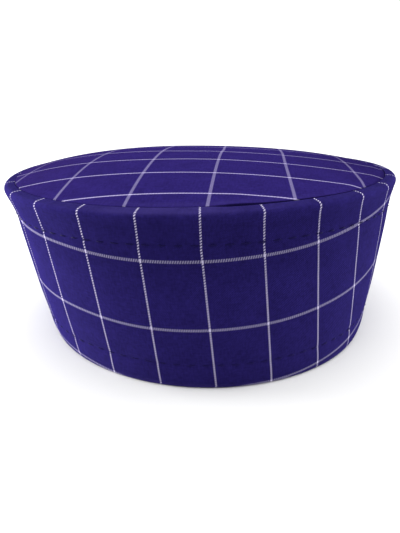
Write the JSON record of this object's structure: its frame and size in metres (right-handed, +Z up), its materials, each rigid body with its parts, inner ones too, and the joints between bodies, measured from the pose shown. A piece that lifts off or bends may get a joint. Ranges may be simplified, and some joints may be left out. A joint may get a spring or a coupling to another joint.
{
  "type": "sufi cap",
  "caption": "Round brimless cloth cap: a stiff, slightly flared side band of checked cloth, rolled over at the rim, with a shallow domed top panel sewn in and an open hollow for the head.",
  "frame": {"origin": "middle of the lower opening, in the plane of the lower edge that the cap rests on", "axes": "+Z up through the middle of the top, -Y to the pictured front, +X to the right of the front"},
  "size_m": [0.21, 0.2012, 0.0928],
  "materials": {
    "band_cloth": "matt indigo cotton twill with pale window-pane lines",
    "top_cloth": "matt indigo cotton twill with pale window-pane lines, turned a quarter"
  },
  "bodies": {
    "root": {"side_band": "band_cloth", "top_panel": "top_cloth"}
  },
  "joints": []
}
